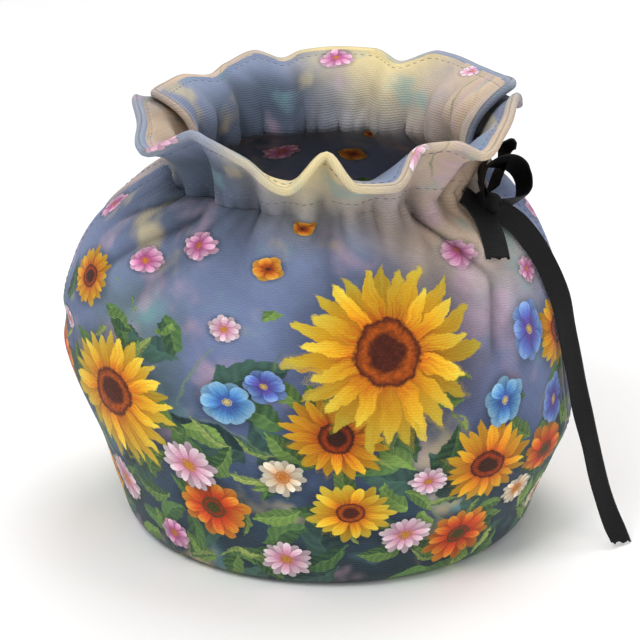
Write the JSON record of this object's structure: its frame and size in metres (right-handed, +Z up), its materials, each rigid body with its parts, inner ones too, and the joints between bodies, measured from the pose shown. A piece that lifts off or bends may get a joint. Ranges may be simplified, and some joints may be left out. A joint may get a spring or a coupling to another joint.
{
  "type": "tea cosy",
  "caption": "Padded cloth tea cosy for a spouted pot, open below, with side slots for spout and handle, a drawn-in neck, a ruffled top and a ribbon bow.",
  "frame": {"origin": "middle of the whole footprint, ribbon included, at the level the hem stands on", "axes": "+Z up, +X from the spout side towards the handle side, the front with the bow faces -Y"},
  "size_m": [0.2426, 0.1916, 0.1943],
  "materials": {
    "printed_canvas": "matt",
    "printed_canvas_back": "matt",
    "black_ribbon": "satin"
  },
  "bodies": {
    "root": {"front_panel": "printed_canvas", "back_panel": "printed_canvas_back", "ribbon_tie": "black_ribbon"}
  },
  "joints": []
}
